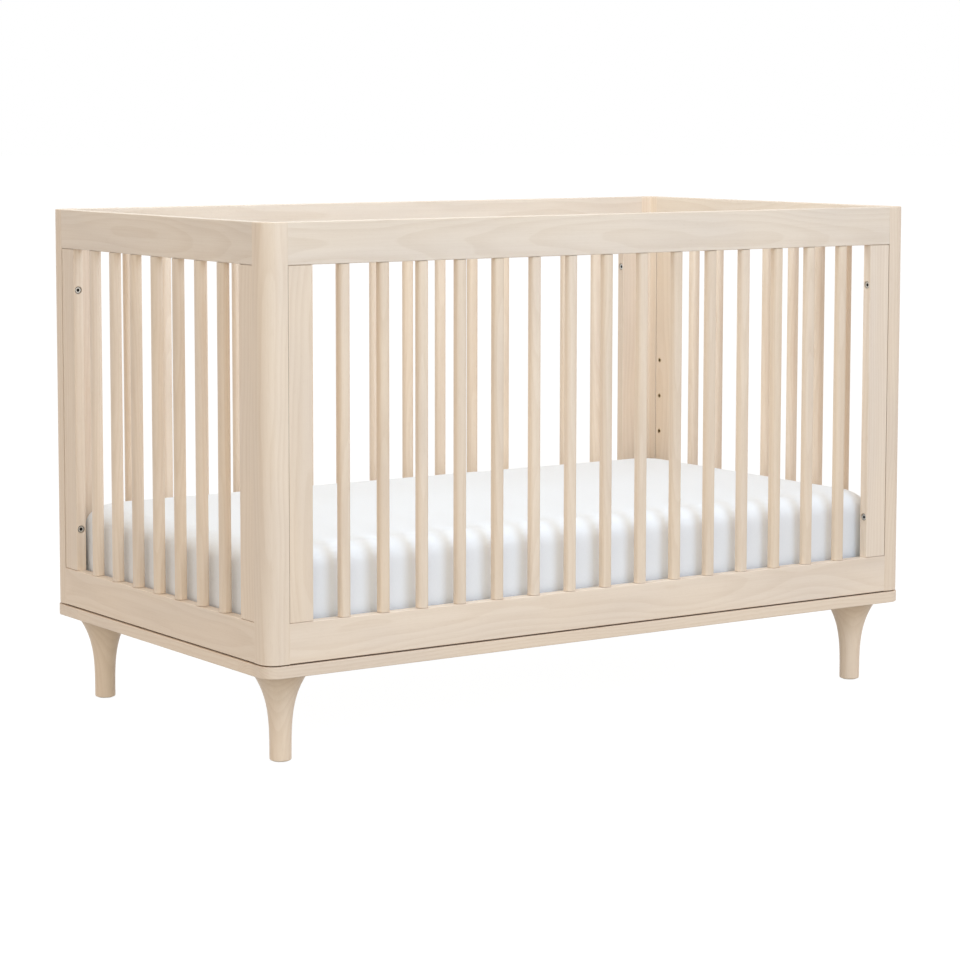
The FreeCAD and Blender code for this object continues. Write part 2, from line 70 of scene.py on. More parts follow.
# tints, which multiply the wood's colour
PLAIN = (1.0, 1.0, 1.0)
WARM_BOARD_TINT = (0.955, 0.935, 0.905)
TOP_RAIL_TINT = (0.985, 1.020, 1.065)
LEG_TINT = (0.970, 0.935, 0.890)
SLAT_TINTS = {"front": (0.985, 0.975, 0.955), "rear": (1.020, 1.020, 1.010)}
DOWEL_TINT = (0.80, 0.72, 0.62)
# near-black spacer strips: painted shade standing in for the shadow gap above the base
SPACER_PAINTED_SHADE_TINT = (0.11, 0.075, 0.050)
# painted shade and a glue line in the grooves where the stiles meet the posts
SEAM_GLUE_AND_SHADE_TINT = (0.30, 0.22, 0.13)

# ---------------------------------------------------------------- the wood's figure

# each noise's scale across the grain and along it in 1/m, then its detail and roughness
FIGURE = {
    "bend": (5.0, 1.5, 1.5, 0.5),
    "waver": (30.0, 6.0, 2.0, 0.5),
    "fibre": (420.0, 9.0, 4.0, 0.6),
    "pore": (1500.0, 70.0, 1.0, 0.5),
    "streak": (55.0, 1.6, 3.0, 0.5),
    "cloud": (9.0, 3.0, 2.0, 0.5),
}
RING_SPACING = 5.2 * MM
RING_BEND = 60 * MM
RING_WAVER = 4 * MM
# the share of a ring's width over which late wood sets in, and stops at the next ring
LATE_WOOD_START = (0.25, 0.88)
LATE_WOOD_STOP = (1.0, 0.92)
# how much each feature darkens the wood
LATE_WOOD_SHADE = 0.22
FIBRE_SHADE = 0.14
PORE_SHADE = 0.22
STREAK_SHADE = 0.18
# the rings' centre, across a board's face and through it, measured from its middle
PITHS = {
    "rail": (0.0, 55 * MM),
    "base_board": (10 * MM, -60 * MM),
    "slats": (30 * MM, 50 * MM),
    "post": (50 * MM, 60 * MM),
    "stile": (35 * MM, 50 * MM),
    "leg": (12 * MM, 45 * MM),
    "spacers": (0.0, 50 * MM),
    "dowels": (20 * MM, 20 * MM),
}
WOOD_RELIEF = 0.12 * MM
SLAT_SHIFT_ALONG = 7.0
SLAT_SHIFT_ACROSS = 50 * MM
PITH_JITTER = (18 * MM, 12 * MM)
# painted shade and a glue line darken a groove, and fade out over a rim round it
SEAM_WIDTH = 0.9 * MM
SEAM_SHADE_WIDTH = 1.17 * MM
LONG_SLAT_PITCH = 76.0 * MM
END_SLAT_PITCH = 75.7 * MM

# ---------------------------------------------------------------- hardware sizes, metres

BOLT_HEAD_RADIUS = 5.9 * MM
# the radii over which the painted shade in a bolt's socket and round its head fades in
BOLT_SOCKET_EDGE = (3.2 * MM, 2.8 * MM)
BOLT_RIM_EDGE = (4.9 * MM, 5.4 * MM)
LONG_WIRES = 9
LONG_WIRE_PITCH = 70 * MM
CROSS_WIRES = 11
CROSS_WIRE_PITCH = 110 * MM
SPRING_RADIUS = 4.7 * MM
SPRING_WIRE_RADIUS = 0.8 * MM
SPRING_TURNS = 13
SPRING_STEPS = 14
SPRING_HOOK = 0.12
SPRING_HOOK_RADIUS = 0.25

# scales of tool marks in 1/m
TURNED_MARKS = (500.0, 500.0, 2600.0)
KNURLED_MARKS = (900.0, 900.0, 2600.0)
DRAWN_MARKS = (300.0, 300.0, 300.0)

# ---------------------------------------------------------------- cloth sizes, metres

THREAD_PITCH = 0.8 * MM
STRIPE_PITCH = 26 * MM
QUILT_PITCH = 90 * MM
QUILT_DEPTH = 2.2 * MM

# the skins of the sheet and the mattress: corners seen from above, and points along the sides
CORNER_RADIUS = 45 * MM
CORNER_STEPS = 4
LONG_STEPS = 36
SHORT_STEPS = 18

SHEET_THICKNESS = 1.0 * MM
SHEET_LIFT = 0.6 * MM
SHEET_TURN_UNDER = 68 * MM
SHEET_LOWER_EDGE = 14 * MM
SHEET_UPPER_EDGE = 38 * MM
SHEET_TOP_INSETS = (44 * MM, 50 * MM, 56 * MM)
SHEET_SQUARING = 18 * MM
CROWN = 1.5 * MM
CROWN_REACH = 190 * MM
FOLD_INSET = 160 * MM
FOLD_REACH = 110 * MM
FOLD_DEPTH = 0.7 * MM
RIPPLES = ((9.0, 0.5 * MM), (26.0, 0.22 * MM))

COVER_INSET = 1.5 * MM
COVER_LIFT = 1.2 * MM
COVER_DROP = 10 * MM
COVER_EDGE = 20 * MM
COVER_TOP_INSETS = (32 * MM, 44 * MM, 56 * MM)
COVER_SQUARING = 36 * MM

# ---------------------------------------------------------------- camera, light and floor

CAMERA_PLACE = (-2.9958, -4.3318, 1.0634)
CAMERA_TILT = 0.1004
CAMERA_YAW = 0.5899
CAMERA_SENSOR = 36.0
CAMERA_LENS = 108.585
CAMERA_SHIFT = (0.0417, -0.0833)
CAMERA_REACH = 100.0

# name, place, aim, size, radiance, colour
SOFT_BOXES = (
    ("front_left", (-3.6, -4.6, 1.4), (0.0, 0.0, 0.5), 3.0, 2.00, (0.88, 1.0, 0.98)),
    ("front_above", (0.0, -2.7, 2.3), (0.0, 0.0, 0.5), 1.4, 4.60, (0.73, 1.0, 1.35)),
    ("overhead", (-0.25, 0.1, 2.7), (0.0, 0.0, 0.3), 0.9, 9.50, (0.78, 1.0, 1.12)),
)
ZENITH = (0.62, 0.48, 0.38, 1.0)
HORIZON = (1.0, 1.0, 1.0, 1.0)
NADIR = (0.24, 0.20, 0.15, 1.0)
# heights on the unit sphere over which one colour turns into the next
LOWER_BLEND = (-0.38, -0.16)
UPPER_BLEND = (0.35, 0.60)
FLOOR_RADIUS = 60.0
FLOOR_DROP = 0.2 * MM
FLOOR_GLOW = (0.97, 0.97, 0.97, 1.0)
FLOOR_PAPER = ((0.10, 0.10, 0.10), (0.12, 0.12, 0.12))


# ---------------------------------------------------------------- node helpers

class Shade:
    """A material's node tree with short calls that add nodes and give back their output."""

    def __init__(self, name):
        self.material = bpy.data.materials.new(name)
        self.material.use_nodes = True
        self.tree = self.material.node_tree
        self.shader = self.tree.nodes["Principled BSDF"]
        self.point = self.node("ShaderNodeTexCoord").outputs["Object"]

    def node(self, kind, **settings):
        made = self.tree.nodes.new(kind)
        for key, value in settings.items():
            setattr(made, key, value)
        return made

    def feed(self, socket, value):
        if isinstance(value, bpy.types.NodeSocket):
            self.tree.links.new(value, socket)
        else:
            socket.default_value = value

    def math(self, operation, *values):
        made = self.node("ShaderNodeMath", operation=operation)
        for socket, value in zip(made.inputs, values):
            self.feed(socket, value)
        return made.outputs[0]

    def vector(self, operation, *values):
        made = self.node("ShaderNodeVectorMath", operation=operation)
        for socket, value in zip(made.inputs, values):
            self.feed(socket, value)
        return made.outputs[0]

    def length(self, x, y):
        made = self.node("ShaderNodeVectorMath", operation="LENGTH")
        self.feed(made.inputs[0], self.join(x, y, 0.0))
        return made.outputs["Value"]

    def split(self, vector):
        made = self.node("ShaderNodeSeparateXYZ")
        self.feed(made.inputs[0], vector)
        return list(made.outputs)

    def join(self, x, y, z):
        made = self.node("ShaderNodeCombineXYZ")
        for socket, value in zip(made.inputs, (x, y, z)):
            self.feed(socket, value)
        return made.outputs[0]

    def noise(self, vector, scale=1.0, detail=2.0, roughness=0.5):
        made = self.node("ShaderNodeTexNoise")
        self.feed(made.inputs["Vector"], vector)
        for key, value in (("Scale", scale), ("Detail", detail), ("Roughness", roughness)):
            made.inputs[key].default_value = value
        return made.outputs[0]

    def remap(self, value, low, high, new_low=0.0, new_high=1.0):
        made = self.node("ShaderNodeMapRange", interpolation_type="SMOOTHSTEP")
        for socket, item in zip(made.inputs, (value, low, high, new_low, new_high)):
            self.feed(socket, item)
        return made.outputs[0]

    def mix(self, share, first, second, blend="MIX"):
        made = self.node("ShaderNodeMix", data_type="RGBA", blend_type=blend)
        colours = [socket for socket in made.inputs if socket.type == "RGBA"]
        self.feed(made.inputs[0], share)
        for socket, value in zip(colours, (first, second)):
            if not isinstance(value, bpy.types.NodeSocket):
                value = (*value, 1.0)
            self.feed(socket, value)
        return [socket for socket in made.outputs if socket.type == "RGBA"][0]

    def multiply(self, first, second):
        return self.mix(1.0, first, second, "MULTIPLY")

    def bump(self, height, depth, strength=1.0):
        made = self.node("ShaderNodeBump")
        made.inputs["Strength"].default_value = strength
        made.inputs["Distance"].default_value = depth
        self.feed(made.inputs["Height"], height)
        self.feed(self.shader.inputs["Normal"], made.outputs[0])

    def set(self, **values):
        """Feeds the shader's sockets, named with _ for a space."""
        for key, value in values.items():
            self.feed(self.shader.inputs[key.replace("_", " ")], value)


def scaled(colour, factor):
    return tuple(channel * factor for channel in colour)


def give(node_name, material):
    """A CAD node keeps its shape and takes a material in every slot."""
    node = nodes[node_name]
    if not node.material_slots:
        node.data.materials.append(material)
    for slot in node.material_slots:
        slot.material = material


def middle(name):
    low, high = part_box(name)
    return (low + high) / 2


# ---------------------------------------------------------------- wood

def wood(name, centre, grain, across, pith, seed, slat_pitch=None, tint=PLAIN, seam=None):
    """Pale washed hardwood as a solid texture: growth rings round a pith, fibres and pores.

    grain and across are the axes along the fibres and across the board's face; pith is the ring
    centre's place across the face and through the thickness; slat_pitch is that of a row of
    slats, side by side across the face, each of which gets its own timber; seam is the place
    across the face of a grooved joint, where a glue line and painted shade in the groove darken
    it.
    """
    shade = Shade(name)
    rng = random.Random(seed)
    through = 3 - grain - across
    place = shade.split(shade.vector("SUBTRACT", shade.point, centre))
    along, face, depth = place[grain], place[across], place[through]
    if slat_pitch is None:
        tone = rng.random()
    else:
        index = shade.math("ROUND", shade.math("DIVIDE", face, slat_pitch))
        face = shade.math("SUBTRACT", face, shade.math("MULTIPLY", index, slat_pitch))
        timber = shade.node("ShaderNodeTexWhiteNoise", noise_dimensions="1D")
        shade.feed(timber.inputs["W"], shade.math("ADD", index, float(seed)))
        shift_along, shift_across, tone = shade.split(timber.outputs["Color"])
        along = shade.math("MULTIPLY_ADD", shift_along, SLAT_SHIFT_ALONG, along)
        face = shade.math("MULTIPLY_ADD", shift_across, SLAT_SHIFT_ACROSS, face)
    along = shade.math("ADD", along, rng.uniform(2, 40))

    def figure(kind):
        """Noise drawn out along the grain."""
        across_scale, along_scale, detail, roughness = FIGURE[kind]
        spot = shade.join(shade.math("MULTIPLY", face, across_scale),
                          shade.math("MULTIPLY", depth, across_scale),
                          shade.math("MULTIPLY", along, along_scale))
        return shade.noise(spot, detail=detail, roughness=roughness)

    # growth rings, bent slowly along the board so that the face shows long flames
    radius = shade.length(shade.math("SUBTRACT", face, pith[0]),
                          shade.math("SUBTRACT", depth, pith[1]))
    radius = shade.math("MULTIPLY_ADD", figure("bend"), RING_BEND, radius)
    radius = shade.math("MULTIPLY_ADD", figure("waver"), RING_WAVER, radius)
    ring = shade.math("FRACT", shade.math("DIVIDE", radius, RING_SPACING))
    late = shade.math("MULTIPLY", shade.remap(ring, *LATE_WOOD_START),
                      shade.remap(ring, *LATE_WOOD_STOP))

    fibre = figure("fibre")
    pore = shade.remap(figure("pore"), 0.60, 0.72)
    streak = shade.remap(figure("streak"), 0.40, 0.72)
    darkness = shade.math("MULTIPLY", late, LATE_WOOD_SHADE)
    for feature, strength in ((shade.remap(fibre, 0.35, 0.75), FIBRE_SHADE), (pore, PORE_SHADE),
                              (streak, STREAK_SHADE)):
        darkness = shade.math("MULTIPLY_ADD", feature, strength, darkness)
    wash = shade.mix(shade.remap(figure("cloud"), 0.35, 0.70), WASH_WARM, WASH_GREY)
    colour = shade.mix(WASH_SHARE, shade.mix(darkness, WOOD_LIGHT, WOOD_DARK), wash, "MULTIPLY")
    warm_tint = tuple(warm * plain for warm, plain in zip(WARM_BOARD_TINT, tint))
    colour = shade.multiply(colour, shade.mix(tone, warm_tint, tint))
    # painted shade in the groove, with a glue line: darker within about a millimetre of the seam
    if seam is not None:
        from_seam = shade.math("SUBTRACT", shade.split(shade.point)[across], seam)
        in_groove = shade.remap(shade.math("ABSOLUTE", from_seam), SEAM_SHADE_WIDTH, SEAM_WIDTH)
        colour = shade.mix(in_groove, colour, shade.multiply(colour, SEAM_GLUE_AND_SHADE_TINT))

    shade.set(Base_Color=colour,
              Roughness=shade.remap(fibre, 0.3, 0.8, 0.40, 0.54),
              Specular_IOR_Level=0.45)
    height = shade.math("MULTIPLY_ADD", pore, -0.8, shade.math("MULTIPLY", fibre, 0.5))
    height = shade.math("MULTIPLY_ADD", late, 0.25, height)
    shade.bump(height, WOOD_RELIEF, 0.8)
    return shade.material


def wood_everything():
    """Every board gets its own piece of timber, with the grain along its length."""
    seed = 0

    def board(name, grain, across, pith, **settings):
        nonlocal seed
        seed += 1
        rng = random.Random(seed)
        place = tuple(offset + rng.uniform(-reach, reach)
                      for offset, reach in zip(pith, PITH_JITTER))
        give(name, wood(f"wood_{name}", middle(name), grain, across, place, seed, **settings))

    def stile(name, across, at_high):
        """A panel's side board, with a groove along its joint with the post."""
        board(name, Z, across, PITHS["stile"], seam=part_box(name)[at_high][across])

    for sides, along, pitch in ((LONG_SIDES, X, LONG_SLAT_PITCH), (END_SIDES, Y, END_SLAT_PITCH)):
        for side in sides:
            board(f"{side}_top_rail", along, Z, PITHS["rail"], tint=TOP_RAIL_TINT)
            board(f"{side}_bottom_rail", along, Z, PITHS["rail"])
            board(f"{side}_base_board", along, 1 - along, PITHS["base_board"])
            board(f"{side}_slats", Z, along, PITHS["slats"], slat_pitch=pitch,
                  tint=SLAT_TINTS.get(side, PLAIN))
    for depth in LONG_SIDES:
        for end in END_SIDES:
            board(f"{depth}_{end}_post", Z, X, PITHS["post"])
            stile(f"{depth}_{end}_stile", X, end == "right")
            stile(f"{end}_{depth}_stile", Y, depth == "rear")
            board(f"{depth}_{end}_leg", Z, X, PITHS["leg"], tint=LEG_TINT)
    # the spacer strips are tinted near black: painted shade for the shadow gap between base and
    # panels
    give("base_spacer_strips",
         wood("wood_spacers_painted_shade", Vector(), X, Y, PITHS["spacers"], 77, tint=SPACER_PAINTED_SHADE_TINT))
    for name, grain in (("long_rail_dowels", X), ("end_rail_dowels", Y)):
        give(name, wood(f"wood_{name}", middle(name), grain, Z, PITHS["dowels"], 91,
                        tint=DOWEL_TINT))


# ---------------------------------------------------------------- metals and plastics

def metal(name, colour, roughness, marks_scale):
    """Plated steel with fine tool marks, a faint mottle and slightly uneven gloss."""
    shade = Shade(name)
    marks = shade.noise(shade.vector("MULTIPLY", shade.point, marks_scale), detail=3.0)
    mottle = shade.noise(shade.point, scale=160.0, detail=3.0)
    share = shade.remap(mottle, 0.35, 0.75, 0.0, 0.7)
    shade.set(Base_Color=shade.mix(share, colour, scaled(colour, 0.72)),
              Metallic=1.0,
              Roughness=shade.remap(marks, 0.3, 0.7, roughness - 0.07, roughness + 0.10))
    shade.bump(shade.math("ADD", marks, shade.math("MULTIPLY", mottle, 0.4)), 0.04 * MM)
    return shade.material


def bolt_metal(node_name, axis):
    """Nickel-plated bolts, with painted shade in the socket and a painted shadow round the head's
    rim.

    The bolts lie along axis in mirrored places, so a point's distance from its bolt's centre
    line is worked out from its distance to the planes of symmetry.
    """
    shade = Shade(f"{node_name}_nickel")
    low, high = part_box(node_name)
    place = shade.split(shade.point)
    offsets = []
    for other in {X, Y, Z} - {axis}:
        middle_plane = (low[other] + high[other]) / 2
        reach = (high[other] - low[other]) / 2 - BOLT_HEAD_RADIUS
        from_plane = shade.math("ABSOLUTE", shade.math("SUBTRACT", place[other], middle_plane))
        offsets.append(shade.math("SUBTRACT", from_plane, reach))
    radius = shade.length(*offsets)
    # painted shade: dark in the hex socket and in a ring round the head, where the counterbore
    # shades it
    socket_and_rim_shade = shade.math("ADD", shade.remap(radius, *BOLT_SOCKET_EDGE),
                       shade.remap(radius, *BOLT_RIM_EDGE))
    marks = shade.noise(shade.point, scale=900.0, detail=3.0)
    plated = shade.mix(shade.remap(marks, 0.35, 0.75, 0.0, 0.5), NICKEL, ZINC)
    shade.set(Base_Color=shade.mix(socket_and_rim_shade, plated, BOLT_PAINTED_SHADE),
              Metallic=1.0,
              Roughness=shade.remap(marks, 0.3, 0.7, 0.26, 0.42))
    shade.bump(marks, 0.04 * MM)
    return shade.material


def powder_coat(name, colour):
    """Powder-coated steel: orange peel and a fine fleck."""
    shade = Shade(name)
    peel = shade.noise(shade.point, scale=900.0, detail=2.0)
    fleck = shade.noise(shade.point, scale=3500.0, detail=1.0)
    shade.set(Base_Color=shade.mix(shade.remap(fleck, 0.45, 0.62), colour, scaled(colour, 0.86)),
              Roughness=shade.remap(peel, 0.3, 0.7, 0.36, 0.46),
              Specular_IOR_Level=0.5)
    shade.bump(peel, 0.10 * MM, 0.6)
    return shade.material


def nylon(name, colour):
    """Moulded nylon with a fine spark-eroded grain and scuffs."""
    shade = Shade(name)
    grain = shade.noise(shade.point, scale=2600.0, detail=2.0)
    scuff = shade.noise(shade.vector("MULTIPLY", shade.point, (60.0, 900.0, 900.0)), detail=3.0)
    shade.set(Base_Color=shade.mix(shade.remap(scuff, 0.55, 0.75), colour, scaled(colour, 0.8)),
              Roughness=shade.remap(grain, 0.3, 0.7, 0.42, 0.56))
    shade.bump(grain, 0.05 * MM, 0.6)
    return shade.material


def hardware(wires):
    """Materials for everything that isn't wood or cloth; wires is the wires' own material."""
    bolts = metal("bolt_nickel", NICKEL, 0.34, TURNED_MARKS)
    inserts = metal("insert_brass", BRASS, 0.34, KNURLED_MARKS)
    coat = powder_coat("support_powder_coat", POWDER)
    for name, axis in (("long_panel_bolts", X), ("end_panel_bolts", Y)):
        give(name, bolt_metal(name, axis))
    for name in ("leg_bolts", "hanger_bolts", "base_screws", "hanger_rivets"):
        give(name, bolts)
    for name in ("long_post_inserts", "end_post_inserts", "leg_inserts", "support_inserts"):
        give(name, inserts)
    for name in ("support_long_wires", "support_cross_wires"):
        give(name, wires)
    for side in LONG_SIDES + END_SIDES:
        give(f"support_{side}_rail", coat)
    for depth in LONG_SIDES:
        for end in END_SIDES:
            give(f"{depth}_{end}_hanger", coat)
    give("foot_glides", nylon("glide_nylon", NYLON))


def wind(curve, start, end):
    """Adds a helix to the curve, whose first and last turns close in to hooks."""
    up = Vector((0, 0, 1))
    side = (end - start).normalized().cross(up)
    total = SPRING_TURNS * SPRING_STEPS
    spline = curve.splines.new("POLY")
    spline.points.add(total)
    for step, point in enumerate(spline.points):
        share = step / total
        swell = min(1.0, share / SPRING_HOOK, (1 - share) / SPRING_HOOK)
        reach = SPRING_RADIUS * (SPRING_HOOK_RADIUS + (1 - SPRING_HOOK_RADIUS) * swell)
        angle = math.tau * step / SPRING_STEPS
        offset = side * math.cos(angle) + up * math.sin(angle)
        point.co = (*(start.lerp(end, share) + offset * reach), 1.0)


def springs(material):
    """Wound coil springs between the wires and the support frame, in place of plain sleeves."""
    low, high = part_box("support_springs")
    level = (low.z + high.z) / 2
    curve = bpy.data.curves.new("support_coil_springs", "CURVE")
    curve.dimensions = "3D"
    curve.bevel_depth = SPRING_WIRE_RADIUS
    curve.bevel_resolution = 2
    wires = (("support_long_wires", X, LONG_WIRES, LONG_WIRE_PITCH),
             ("support_cross_wires", Y, CROSS_WIRES, CROSS_WIRE_PITCH))
    for name, along, count, pitch in wires:
        wire_end, frame_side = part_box(name)[1][along], high[along]
        for index in range(count):
            across = (index - (count - 1) / 2) * pitch
            for side in (-1, 1):
                ends = [Vector((0, 0, level)), Vector((0, 0, level))]
                for end, reach in zip(ends, (wire_end, frame_side)):
                    end[along] = side * reach
                    end[1 - along] = across
                wind(curve, *ends)
    piece = bpy.data.objects.new("support_coil_springs", curve)
    bpy.context.scene.collection.objects.link(piece)
    curve.materials.append(material)
    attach(piece, "mattress_support")
    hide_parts("support_springs")


# ---------------------------------------------------------------- fabrics

def cotton(name, colour):
    """Percale cotton: a plain weave of fine threads with slubs, and a faint sheen."""
    shade = Shade(name)
    turn = math.tau / THREAD_PITCH
    waves = [shade.math("SINE", shade.math("MULTIPLY", place, turn))
             for place in shade.split(shade.point)]
    facing = shade.split(shade.node("ShaderNodeTexCoord").outputs["Normal"])
    weave = 0.0
    for axis in (X, Y, Z):
        crossing = shade.math("MULTIPLY", waves[(axis + 1) % 3], waves[(axis + 2) % 3])
        share = shade.math("ABSOLUTE", facing[axis])
        weave = shade.math("MULTIPLY_ADD", crossing, share, weave)
    slub = shade.noise(shade.vector("MULTIPLY", shade.point, (1100.0, 160.0, 160.0)), detail=3.0)
    soft = shade.noise(shade.point, scale=14.0, detail=3.0)
    tint = shade.math("MULTIPLY_ADD", shade.remap(weave, 0.8, -0.8), 0.4,
                      shade.remap(slub, 0.40, 0.75, 0.0, 0.6))
    shade.set(Base_Color=shade.mix(tint, colour, scaled(colour, 0.955)),
              Roughness=shade.remap(soft, 0.3, 0.7, 0.80, 0.92),
              Specular_IOR_Level=0.2, Sheen_Weight=0.10, Sheen_Roughness=0.5)
    shade.bump(shade.math("MULTIPLY_ADD", weave, 0.6, slub), 0.12 * MM, 0.5)
    return shade.material


def ticking(name):
    """Mattress ticking: twill in off-white with narrow blue-grey stripes along the mattress."""
    shade = Shade(name)
    x, y, _ = shade.split(shade.point)
    wave = shade.math("SINE", shade.math("MULTIPLY", y, math.pi / STRIPE_PITCH))
    stripe = shade.remap(shade.math("ABSOLUTE", wave), 0.16, 0.08)
    slant = shade.math("MULTIPLY", shade.math("ADD", x, y), math.tau / (2 * THREAD_PITCH))
    twill = shade.math("SINE", slant)
    slub = shade.noise(shade.vector("MULTIPLY", shade.point, (120.0, 1200.0, 1200.0)), detail=3.0)
    colour = shade.mix(shade.math("MULTIPLY", stripe, 0.8), TICKING, TICKING_STRIPE)
    darker = shade.multiply(colour, (0.86, 0.86, 0.86))
    shade.set(Base_Color=shade.mix(shade.remap(slub, 0.4, 0.7), colour, darker),
              Roughness=shade.remap(slub, 0.3, 0.7, 0.78, 0.90), Specular_IOR_Level=0.25)
    shade.bump(shade.math("MULTIPLY_ADD", twill, 0.5, slub), 0.15 * MM, 0.6)
    return shade.material


# ---------------------------------------------------------------- skins of soft goods

def side_runs(half_x, half_y):
    """Places along a rectangle's long and short sides, closer together at its corners."""
    bend = CORNER_RADIUS * np.tan(np.linspace(0, math.pi / 4, CORNER_STEPS + 1)[1:])
    runs = []
    for half, steps in ((half_x, LONG_STEPS), (half_y, SHORT_STEPS)):
        core = half - CORNER_RADIUS
        straight = np.linspace(-core, core, steps + 1)
        runs.append(np.concatenate([-core - bend[::-1], straight, core + bend]))
    return runs


def ring_points(half_x, half_y, roundness):
    """Points round a rectangle with round corners; roundness 0 leaves its corners square.

    Every ring has the same count of points, so rings of different sizes join into quads.
    """
    along_x, along_y = side_runs(half_x, half_y)
    flat = [(x, -half_y) for x in along_x[:-1]] + [(half_x, y) for y in along_y[:-1]]
    flat += [(-x, half_y) for x in along_x[:-1]] + [(-half_x, -y) for y in along_y[:-1]]
    core = np.array([half_x, half_y]) - CORNER_RADIUS
    points = []
    for place in np.array(flat):
        inside = np.clip(place, -core, core)
        out = place - inside
        if out[0] and out[1]:
            round_out = out * CORNER_RADIUS / np.hypot(*out)
            out = out + (round_out - out) * roundness
        points.append(inside + out)
    return points


def grid_cap(mesh, loop, half_x, half_y, z):
    """Fills a loop made by ring_points with a grid of quads at height z."""
    along_x, along_y = side_runs(half_x, half_y)
    columns, rows = len(along_x) - 1, len(along_y) - 1
    border = [(column, 0) for column in range(columns)]
    border += [(columns, row) for row in range(rows)]
    border += [(columns - column, rows) for column in range(columns)]
    border += [(0, rows - row) for row in range(rows)]
    grid = dict(zip(border, loop))
    for column in range(1, columns):
        for row in range(1, rows):
            grid[column, row] = mesh.verts.new((along_x[column], along_y[row], z))
    for column in range(columns):
        for row in range(rows):
            mesh.faces.new((grid[column, row], grid[column + 1, row],
                            grid[column + 1, row + 1], grid[column, row + 1]))


def lofted(name, rings, caps, material):
    """A skin through rings of (half_x, half_y, z, roundness), closed by grids at the caps."""
    mesh = bmesh.new()
    loops = []
    for half_x, half_y, z, roundness in rings:
        points = ring_points(half_x, half_y, roundness)
        loops.append([mesh.verts.new((*point, z)) for point in points])
    for lower, upper in zip(loops, loops[1:]):
        for index in range(len(lower)):
            after = (index + 1) % len(lower)
            mesh.faces.new((lower[index], lower[after], upper[after], upper[index]))
    for which in caps:
        half_x, half_y, z, _ = rings[which]
        grid_cap(mesh, loops[which], half_x, half_y, z)
    bmesh.ops.recalc_face_normals(mesh, faces=mesh.faces)
    data = bpy.data.meshes.new(name)
    mesh.to_mesh(data)
    mesh.free()
    data.shade_smooth()
    data.materials.append(material)
    piece = bpy.data.objects.new(name, data)
    bpy.context.scene.collection.objects.link(piece)
    return piece


def apply_modifiers(piece):
    """Puts the piece's modifiers into its mesh."""
    graph = bpy.context.evaluated_depsgraph_get()
    finished = bpy.data.meshes.new_from_object(piece.evaluated_get(graph))
    piece.modifiers.clear()
    piece.data = finished


def subdivide(piece, levels):
    smooth = piece.modifiers.new("smooth", "SUBSURF")
    smooth.levels = smooth.render_levels = levels
    apply_modifiers(piece)


def reshape(piece, shift):
    """Moves every point by shift(place, normal)."""
    moved = [vertex.co + shift(vertex.co.copy(), vertex.normal.copy())
             for vertex in piece.data.vertices]
    for vertex, place in zip(piece.data.vertices, moved):
        vertex.co = place
    piece.data.update()


def edge_arc(radius, steps):
    """(inset, height) along a round edge, both measured from its square corner."""
    angles = [QUARTER_TURN * step / steps for step in range(steps + 1)]
    return [(radius * (1 - math.cos(angle)), radius * (1 - math.sin(angle))) for angle in angles]


def squared(inset, edge, squaring):
    """The roundness of a flat ring's corners: they turn square away from the edge."""
    return max(0.0, 1 - (inset - edge) / squaring)


def fitted_sheet(material):
    """The fitted sheet: level over the mattress, tight down its sides and turned under it."""
    low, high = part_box("fitted_sheet")
    half_x, half_y, shoulder = high

    def crown(inset):
        """The height of the sheet's top at an inset from its edge: steep at first, then level."""
        share = min(1.0, max(0.0, inset) / CROWN_REACH)
        return shoulder + CROWN * (1 - (1 - share) ** 3)

    rings = [(half_x - inset, half_y - inset, low.z + SHEET_LIFT, 1.0)
             for inset in np.linspace(SHEET_TURN_UNDER, SHEET_LOWER_EDGE, 8)[:-1]]
    for inset, height in reversed(edge_arc(SHEET_LOWER_EDGE, 5)):
        rings.append((half_x - inset, half_y - inset, low.z + height, 1.0))
    for height in np.linspace(low.z + SHEET_LOWER_EDGE, shoulder - SHEET_UPPER_EDGE, 8)[1:-1]:
        rings.append((half_x, half_y, height, 1.0))
    for inset, height in edge_arc(SHEET_UPPER_EDGE, 7):
        rings.append((half_x - inset, half_y - inset, crown(inset) - height, 1.0))
    for inset in SHEET_TOP_INSETS:
        roundness = squared(inset, SHEET_UPPER_EDGE, SHEET_SQUARING)
        rings.append((half_x - inset, half_y - inset, crown(inset), roundness))
    piece = lofted("cotton_fitted_sheet", rings, [-1], material)

    def crowned(place, normal):
        inset = min(half_x - abs(place.x), half_y - abs(place.y))
        if inset < SHEET_TOP_INSETS[-1] + MM or place.z < shoulder:
            return Vector()
        return Vector((0, 0, crown(inset) - place.z))

    def lie(place, normal):
        """Soft unevenness all over, and short folds that fan out at the corners."""
        if place.z < low.z + 2 * MM:
            return Vector()
        to_corner = [max(0, abs(at) - half + FOLD_INSET) - FOLD_INSET
                     for at, half in ((place.x, half_x), (place.y, half_y))]
        near_corner = math.exp(-(math.hypot(*to_corner) / FOLD_REACH) ** 2)
        down = min(1.0, max(0.0, (shoulder - place.z) / (shoulder - low.z)))
        around = math.atan2(place.y - math.copysign(half_y - FOLD_INSET, place.y),
                            place.x - math.copysign(half_x - FOLD_INSET, place.x))
        folds = math.sin(around * 26 + place.z * 60) * near_corner * (0.3 + down) * FOLD_DEPTH
        ripple = sum(noise.noise(place * scale) * depth for scale, depth in RIPPLES)
        if down > 0.02:
            return -normal * (abs(ripple) + abs(folds))
        return normal * ripple

    reshape(piece, crowned)
    subdivide(piece, 2)
    reshape(piece, lie)
    skin = piece.modifiers.new("skin", "SOLIDIFY")
    skin.thickness = SHEET_THICKNESS
    skin.offset = -1.0
    apply_modifiers(piece)
    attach(piece, "mattress")
    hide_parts("fitted_sheet")
    return piece


